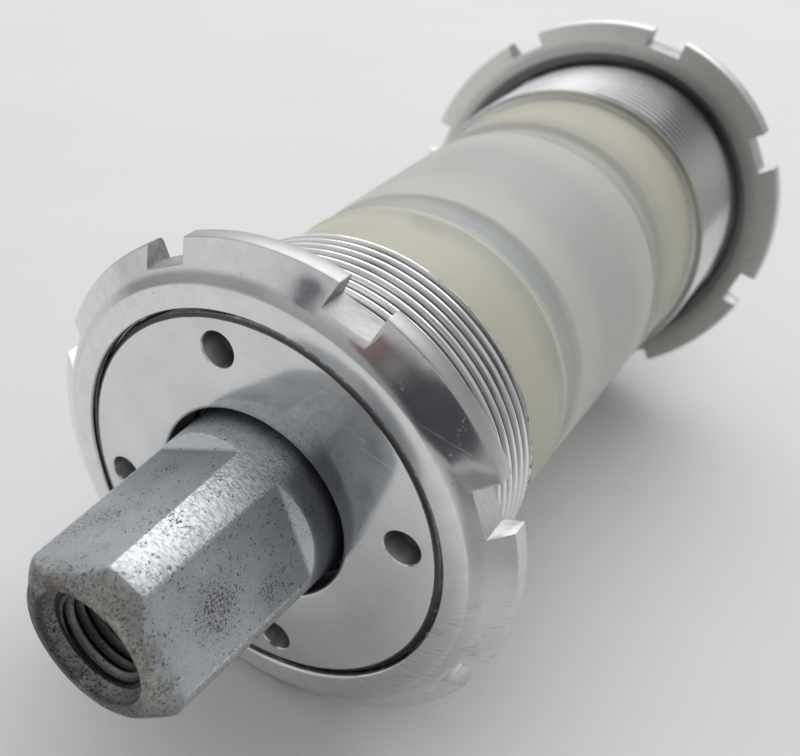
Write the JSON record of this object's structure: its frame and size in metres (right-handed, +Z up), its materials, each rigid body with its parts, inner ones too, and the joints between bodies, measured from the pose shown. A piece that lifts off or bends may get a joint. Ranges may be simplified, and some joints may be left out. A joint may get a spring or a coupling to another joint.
{
  "type": "bottom bracket",
  "caption": "Square-taper bicycle bottom bracket cartridge: spindle on sealed bearings in two threaded cups with notched lockrings and a plastic dust sleeve.",
  "frame": {"origin": "on the spindle axis, midway between the two spindle ends, which is the centre of the bounding box", "axes": "+Y along the spindle from the non-drive end to the drive end; +Z up with the part lying on its lockrings; +X to the right"},
  "size_m": [0.0448, 0.1174, 0.0448],
  "materials": {
    "spindle": "satin",
    "cup": "satin",
    "lockring": "polished",
    "dust_sleeve": "satin",
    "bearing_steel": "polished",
    "seal": "matte",
    "balls": "polished",
    "cage": "satin",
    "spring_steel": "satin"
  },
  "bodies": {
    "sleeve": {"dust_sleeve": "dust_sleeve"},
    "spindle": {"spindle": "spindle", "non_drive_side_bearing_inner_race": "bearing_steel", "non_drive_side_retaining_ring": "spring_steel", "drive_side_bearing_inner_race": "bearing_steel", "drive_side_retaining_ring": "spring_steel"},
    "non_drive_side_ball_set": {"non_drive_side_balls": "balls", "non_drive_side_ball_cage": "cage"},
    "non_drive_side_cup": {"non_drive_side_cup": "cup", "non_drive_side_bearing_outer_race": "bearing_steel", "non_drive_side_outer_seal": "seal", "non_drive_side_inner_seal": "seal"},
    "non_drive_side_lockring": {"non_drive_side_lockring": "lockring"},
    "drive_side_ball_set": {"drive_side_balls": "balls", "drive_side_ball_cage": "cage"},
    "drive_side_cup": {"drive_side_cup": "cup", "drive_side_bearing_outer_race": "bearing_steel", "drive_side_outer_seal": "seal", "drive_side_inner_seal": "seal"},
    "drive_side_lockring": {"drive_side_lockring": "lockring"}
  },
  "joints": [
    {"name": "spindle_spin", "type": "hinge", "parent": "sleeve", "child": "spindle", "pos_m": [0, 0, 0], "axis": [0, 1, 0], "continuous": true},
    {"name": "non_drive_side_ball_orbit", "type": "hinge", "parent": "sleeve", "child": "non_drive_side_ball_set", "pos_m": [0, -0.031, 0], "axis": [0, 1, 0], "continuous": true},
    {"name": "drive_side_ball_orbit", "type": "hinge", "parent": "sleeve", "child": "drive_side_ball_set", "pos_m": [0, 0.031, 0], "axis": [0, 1, 0], "continuous": true},
    {"name": "non_drive_side_cup_turn", "type": "hinge", "parent": "sleeve", "child": "non_drive_side_cup", "pos_m": [0, -0.031, 0], "axis": [0, 1, 0], "range_deg": [-2880, 720]},
    {"name": "non_drive_side_lockring_travel", "type": "slide", "parent": "sleeve", "child": "non_drive_side_lockring", "axis": [0, 1, 0], "range_m": [-0.00212, 0.00847]},
    {"name": "drive_side_cup_turn", "type": "hinge", "parent": "sleeve", "child": "drive_side_cup", "pos_m": [0, 0.031, 0], "axis": [0, 1, 0], "range_deg": [-2160, 1440]},
    {"name": "drive_side_lockring_travel", "type": "slide", "parent": "sleeve", "child": "drive_side_lockring", "axis": [0, 1, 0], "range_m": [-0.00635, 0.00423]}
  ],
  "couplings": [
    {"joint": "non_drive_side_ball_orbit", "follows": "spindle_spin", "ratio": 0.41555},
    {"joint": "drive_side_ball_orbit", "follows": "spindle_spin", "ratio": 0.41555},
    {"joint": "non_drive_side_lockring_travel", "follows": "non_drive_side_cup_turn", "m_per_rad": -0.00016844},
    {"joint": "drive_side_lockring_travel", "follows": "drive_side_cup_turn", "m_per_rad": 0.00016844}
  ]
}
